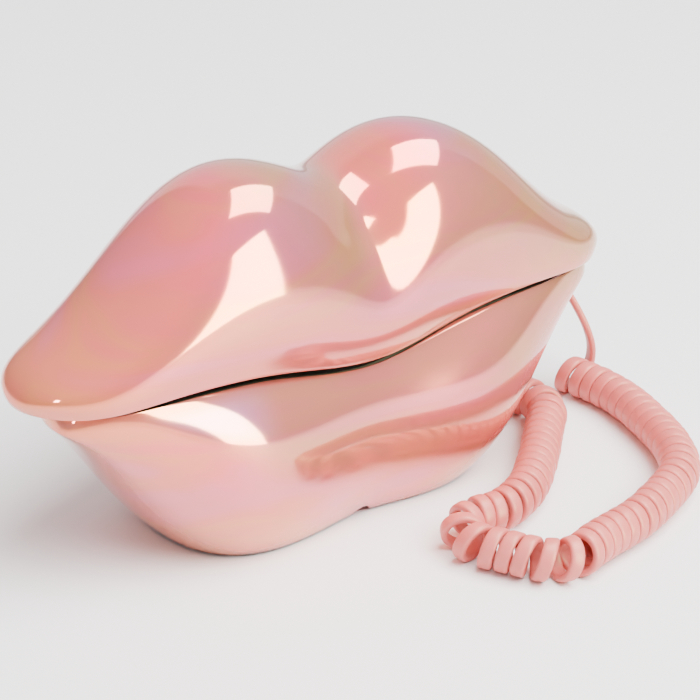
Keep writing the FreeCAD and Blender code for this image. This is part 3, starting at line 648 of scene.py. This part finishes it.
def lip_rows(lip, side):
    """Rows of points over the part of a lip above (side 1) or below (side -1) the seam."""
    bottom = math.radians(-90)
    rows = []
    for i in range(STATIONS + 1):
        angle = math.pi * (i / STATIONS - 0.5) * LAST_STATION
        level = seam(lip["half_length"] * math.sin(angle), side)
        if side > 0:
            start, end = bottom, bottom + 2 * math.pi
            if lip_point(lip, angle, bottom).z < level:
                start = crossing(lip, angle, math.radians(90), bottom, level, 1)
                end = crossing(lip, angle, math.radians(90), math.radians(270), level, 1)
        else:
            start, end = math.radians(90), math.radians(450)
            if lip_point(lip, angle, start).z > level:
                start = crossing(lip, angle, math.radians(270), math.radians(90), level, -1)
                end = crossing(lip, angle, math.radians(270), math.radians(450), level, -1)
        turns = [start + (end - start) * k / SPOKES for k in range(SPOKES + 1)]
        rows.append([lip_point(lip, angle, turn) * MM for turn in turns])
    return rows


def cut_level(obj, height):
    """Removes what is below a height and leaves the opening free."""
    work = bmesh.new()
    work.from_mesh(obj.data)
    everything = work.verts[:] + work.edges[:] + work.faces[:]
    bmesh.ops.bisect_plane(work, geom=everything, dist=1e-6, plane_co=(0, 0, height), plane_no=(0, 0, -1),
                           clear_outer=True)
    work.to_mesh(obj.data)
    work.free()


def block(low, high):
    """A plain block between two corners, to cut a window with."""
    work = bmesh.new()
    made = bmesh.ops.create_cube(work, size=1.0)
    for vert in made["verts"]:
        vert.co = Vector([low[i] if vert.co[i] < 0 else high[i] for i in range(3)])
    return cutter(work)


def rod(radius, z, front, back):
    """A plain rod along Y in the middle, to cut a notch with."""
    work = bmesh.new()
    turn = Matrix.Rotation(math.radians(90), 4, "X")
    shift = Matrix.Translation((0, (front + back) / 2, z))
    bmesh.ops.create_cone(work, cap_ends=True, segments=NOTCH_SIDES, radius1=radius, radius2=radius,
                          depth=back - front, matrix=shift @ turn)
    return cutter(work)


def cutter(work):
    """An object of what was made in a bmesh."""
    mesh = bpy.data.meshes.new("cutter")
    work.to_mesh(mesh)
    work.free()
    obj = bpy.data.objects.new("cutter", mesh)
    bpy.context.scene.collection.objects.link(obj)
    return obj


def jack_window(node):
    """Cuts the window for a jack in a casing's back wall."""
    low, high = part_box(node)
    margin = Vector((JACK_MARGIN, 0, JACK_MARGIN)) * MM
    return block(low - margin, high + margin + BEHIND * MM)


def switch_window(switch):
    """Cuts the slot that a slide switch's knob runs in."""
    low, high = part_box(switch)
    knob_low, knob_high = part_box(switch + "_knob")
    middle = Vector(((low.x + high.x) / 2, high.y, (knob_low.z + knob_high.z) / 2))
    half = Vector((SWITCH_SLOT[0] / 2, 0, SWITCH_SLOT[1] / 2)) * MM
    return block(middle - half, middle + half + BEHIND * MM)


def finish_casing(obj, cutters, body, node):
    """Gives a lip its wall, cuts its windows, rounds its edges and puts it in place of its CAD node."""
    wall = obj.modifiers.new("wall", "SOLIDIFY")
    wall.thickness = WALL * MM
    wall.offset = -1
    for tool in cutters:
        window = obj.modifiers.new("window", "BOOLEAN")
        window.operation = "DIFFERENCE"
        window.solver = "EXACT"
        window.object = tool
    edges = obj.modifiers.new("edges", "BEVEL")
    edges.width = EDGE_ROUNDING * MM
    edges.segments = 2
    edges.limit_method = "ANGLE"
    edges.angle_limit = math.radians(EDGE_ANGLE)
    apply_modifiers(obj)
    obj.data.set_sharp_from_angle(angle=math.radians(CREASE_ANGLE))
    for tool in cutters:
        bpy.data.objects.remove(tool)
    obj.data.materials.clear()
    obj.data.materials.append(pearl_with_painted_light_material())
    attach(obj, body)
    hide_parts(node)


def make_lips():
    upper = grid_object("handset_casing", lip_rows(UPPER_LIP, 1))
    finish_casing(upper, [jack_window("handset_jack")], "handset", "handset_shell")
    lower = grid_object("base_casing", lip_rows(LOWER_LIP, -1))
    cut_level(lower, FOOT_HEIGHT * MM)
    cutters = [jack_window("line_jack"), jack_window("base_cord_jack")]
    cutters += [switch_window("ringer_switch"), switch_window("dialling_switch")]
    cutters.append(rod(NOTCH_RADIUS * MM, NOTCH_Z * MM, NOTCH_Y[0] * MM, NOTCH_Y[1] * MM))
    finish_casing(lower, cutters, "base", "base_shell")


# ================================================================ CAD pieces that stay, and digits
def finish_cad_pieces():
    """Every CAD piece that stays gets the material of its slot in the record."""
    materials = {
        "black_plastic": black_material(),
        "key_plastic": key_material(),
        "plug_plastic": plug_material(),
        "jack_plastic": jack_material(),
        "rubber": rubber_material(),
        "steel": steel_material(),
        "circuit_board": board_material(),
        "component_plastic": component_material(),
        "knob_plastic": knob_material(),
    }
    for row in frame["record"]["subparts"]:
        if row["material_slot"] in materials:
            mesh = frame["nodes"][row["node"]].data
            mesh.materials.clear()
            mesh.materials.append(materials[row["material_slot"]])


def text_mesh(text):
    """A raised text's mesh, in the XY plane and facing +Z, with its middle at the origin."""
    curve = bpy.data.curves.new("digit", "FONT")
    curve.body = text
    curve.size = DIGIT_SIZE
    curve.extrude = DIGIT_HEIGHT
    curve.align_x = "CENTER"
    curve.align_y = "CENTER"
    flat = bpy.data.objects.new("digit", curve)
    bpy.context.scene.collection.objects.link(flat)
    mesh = bpy.data.meshes.new_from_object(flat)
    bpy.data.objects.remove(flat)
    corners = [vert.co for vert in mesh.vertices]
    middle_x = (min(c.x for c in corners) + max(c.x for c in corners)) / 2
    middle_y = (min(c.y for c in corners) + max(c.y for c in corners)) / 2
    mesh.transform(Matrix.Translation((-middle_x, -middle_y, 0)))
    return mesh


def make_digits():
    """A raised digit on each key, read from below with the ear end up."""
    ink = moulded("digit_grey", (0.030, 0.028, 0.028), (0.050, 0.047, 0.047), 0.40)
    for key, digit in DIGITS.items():
        low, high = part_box(key)
        middle = (low + high) / 2
        mesh = text_mesh(digit)
        for vert in mesh.vertices:
            right, up, out = vert.co
            vert.co = Vector((middle.x - up, middle.y - right, low.z - out))
        mesh.materials.append(ink)
        piece = bpy.data.objects.new("digit_on_" + key, mesh)
        bpy.context.scene.collection.objects.link(piece)
        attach(piece, key)


# ================================================================ cord
def spline_points(route):
    """Points read along a smooth NURBS line whose control points are the route's."""
    curve = bpy.data.curves.new("route", "CURVE")
    curve.dimensions = "3D"
    curve.resolution_u = ROUTE_RESOLUTION
    spline = curve.splines.new("NURBS")
    spline.points.add(len(route) - 1)
    for point, place in zip(spline.points, route):
        point.co = (*(c * MM for c in place), 1.0)
    spline.order_u = 3
    spline.use_endpoint_u = True
    obj = bpy.data.objects.new("route", curve)
    bpy.context.scene.collection.objects.link(obj)
    mesh = bpy.data.meshes.new_from_object(obj)
    points = [v.co.copy() for v in mesh.vertices]
    bpy.data.objects.remove(obj)
    return points


def resample(points, step):
    """Evenly spaced points along a line, and its length."""
    total = sum((b - a).length for a, b in zip(points, points[1:]))
    count = max(2, round(total / step))
    found = [points[0].copy()]
    walked = 0.0
    for a, b in zip(points, points[1:]):
        run = (b - a).length
        while len(found) < count and walked + run >= total * len(found) / count:
            found.append(a.lerp(b, (total * len(found) / count - walked) / run))
        walked += run
    found.append(points[-1].copy())
    return found, total


def heading(points, k):
    """The direction of the line at point k."""
    return (points[min(k + 1, len(points) - 1)] - points[max(k - 1, 0)]).normalized()


def carried_frames(points, first):
    """Two sideways directions at each point, turning as little as they can along the line."""
    frames = []
    side = first
    for k in range(len(points)):
        ahead = heading(points, k)
        side = (side - ahead * side.dot(ahead)).normalized()
        frames.append((side.copy(), ahead.cross(side)))
    return frames


def bend_at(points, k, reach):
    """One over the radius of the line's bend near point k."""
    a = points[max(k - reach, 0)]
    b = points[min(max(k, 1), len(points) - 2)]
    c = points[min(k + reach, len(points) - 1)]
    before = (b - a).normalized()
    after = (c - b).normalized()
    return before.angle(after, 0.0) / ((c - a).length / 2)


def coil_spins(axis, step):
    """The cord's angle round the coil's axis at each point of the axis. Turns open where the coil bends.

    The angle ends half a turn past a whole number of turns, so the coil starts underneath and ends on top.
    """
    reach = round(BEND_SPREAD / step)
    spins = [0.0]
    for k in range(1, len(axis)):
        pitch = CLOSED_PITCH / (1 - min(bend_at(axis, k, reach) * COIL_RADIUS, MOST_OPENING))
        pitch += END_OPENING * math.exp(-(k * step / CLOSED_PITCH) ** 2)
        spins.append(spins[-1] + 2 * math.pi * step / pitch)
    whole = 2 * math.pi * (math.floor(spins[-1] / (2 * math.pi)) + 0.5)
    return [spin * whole / spins[-1] for spin in spins]


def band(centre, wides, name):
    """The flat cord: a rounded oblong section, its long side along wide, carried along the centre line."""
    section = []
    for k in range(SECTION_POINTS):
        turn = 2 * math.pi * (k + 0.5) / SECTION_POINTS
        section.append((CORD_WIDTH / 2 * signed_power(math.cos(turn), SECTION_POWERS[0]),
                        CORD_THICKNESS / 2 * signed_power(math.sin(turn), SECTION_POWERS[1])))
    rows = []
    for k, (point, wide) in enumerate(zip(centre, wides)):
        ahead = heading(centre, k)
        wide = (wide - ahead * wide.dot(ahead)).normalized()
        out = wide.cross(ahead)
        rows.append([point + wide * w + out * t for w, t in section + section[:1]])
    cord = grid_object(name, rows)
    close_ends(cord)
    return cord


def close_ends(obj):
    """Fills the two open ends of the cord."""
    work = bmesh.new()
    work.from_mesh(obj.data)
    bmesh.ops.holes_fill(work, edges=[e for e in work.edges if e.is_boundary], sides=0)
    bmesh.ops.recalc_face_normals(work, faces=work.faces)
    work.to_mesh(obj.data)
    work.free()


def turned(first, last, share):
    """A direction that goes smoothly from the first to the last as share goes from 0 to 1."""
    return first.lerp(last, smooth(share)).normalized()


def handset_end():
    """The lead from the handset: flat in its jack, edge-on to the camera, then ready for the first turn."""
    centre = resample(spline_points(LEAD_ROUTE), CORD_STEP)[0]
    edge_on = (CAMERA_TARGET - camera_place()).normalized()
    wides = []
    for k in range(len(centre)):
        share = k / (len(centre) - 1)
        wide = turned(Vector((1, 0, 0)), edge_on, share / EDGE_ON_BY)
        wides.append(turned(wide, Vector((0, 1, 0)), (share - EDGE_ON_UNTIL) / (1 - EDGE_ON_UNTIL)))
    return centre, wides


def coil():
    """The turns: a left-handed helix round the coil's axis, with the cord's long side along the axis."""
    axis, length = resample(spline_points(COIL_ROUTE), AXIS_STEP)
    spins = coil_spins(axis, length / (len(axis) - 1))
    frames = carried_frames(axis, Vector((0, 0, -1)))
    centre = []
    wides = []
    for k, (point, spin, (side, other)) in enumerate(zip(axis, spins, frames)):
        uneven = sum(share * math.sin(spin * frequency + phase) for share, frequency, phase in UNEVEN)
        outward = side * math.cos(spin) - other * math.sin(spin)
        centre.append(point + outward * COIL_RADIUS * (1 - abs(uneven)))
        wides.append(-heading(axis, k))
    return centre, wides


def base_end(coil_end):
    """The lead to the base, which turns from the coil's direction to flat in its jack."""
    centre = resample(spline_points(BASE_LEAD_ROUTE), CORD_STEP)[0]
    wides = []
    for k in range(len(centre)):
        wides.append(turned(coil_end, Vector((1, 0, 0)), k / (len(centre) - 1)))
    return centre, wides


def make_cord():
    """Points along the whole flat cord, and the direction of its long side at each of them."""
    lead = handset_end()
    turns = coil()
    tail = base_end(turns[1][-1])
    return lead[0] + turns[0] + tail[0], lead[1] + turns[1] + tail[1]


def thin_out(centre, wides, step):
    """Drops points that are closer than step to the one before."""
    kept = [0]
    for k in range(1, len(centre)):
        if (centre[k] - centre[kept[-1]]).length >= step:
            kept.append(k)
    return [centre[k] for k in kept], [wides[k] for k in kept]


def add_cord():
    centre, wides = thin_out(*make_cord(), LEAST_STEP)
    cord = band(centre, wides, "curly_cord")
    cord.data.materials.append(cord_material())
    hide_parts("handset_lead", "cord_coil", "base_lead")
    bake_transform(cord)


make_camera()
make_lights()
make_world()
make_floor()
add_cord()
make_lips()
finish_cad_pieces()
make_digits()
